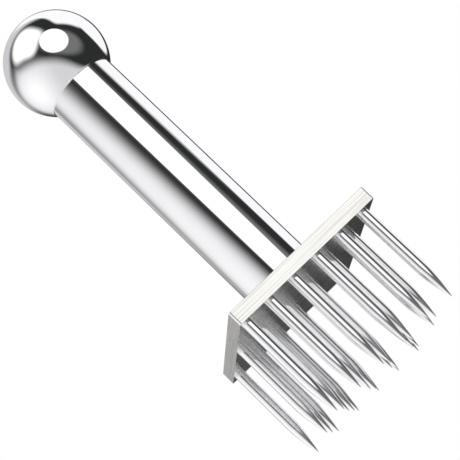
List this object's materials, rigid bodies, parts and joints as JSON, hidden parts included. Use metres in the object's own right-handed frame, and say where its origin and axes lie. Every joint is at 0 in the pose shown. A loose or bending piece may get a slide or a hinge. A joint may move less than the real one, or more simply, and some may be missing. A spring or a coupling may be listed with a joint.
{
  "type": "meat mallet",
  "caption": "Needle-type meat mallet: rectangular steel head plate set with rows of pointed needles, straight round grip and a ball end.",
  "frame": {"origin": "centre of the head plate's outline, on the plane of the needle tips, which is the plane that the tool stands on", "axes": "+Z along the grip from the needle tips to the ball, +X along the plate's short edges, +Y along its long edges"},
  "size_m": [0.056, 0.076, 0.1667],
  "materials": {
    "plate": "brushed",
    "grip": "polished",
    "ball": "polished",
    "needle": "polished",
    "inner": "machined"
  },
  "bodies": {
    "root": {"head_plate": "plate", "handle_tube": "grip", "ball_knob": "ball", "foot_plug": "inner", "tie_rod": "inner", "top_bush": "inner", "needle_a1": "needle", "needle_a2": "needle", "needle_a3": "needle", "needle_a4": "needle", "needle_a5": "needle", "needle_a6": "needle", "needle_b1": "needle", "needle_b2": "needle", "needle_b3": "needle", "needle_b4": "needle", "needle_b5": "needle", "needle_c1": "needle", "needle_c2": "needle", "needle_c3": "needle", "needle_c4": "needle", "needle_c5": "needle", "needle_c6": "needle", "needle_d1": "needle", "needle_d2": "needle", "needle_d3": "needle", "needle_d4": "needle", "needle_d5": "needle", "needle_e1": "needle", "needle_e2": "needle", "needle_e3": "needle", "needle_e4": "needle", "needle_e5": "needle", "needle_e6": "needle"}
  },
  "joints": []
}
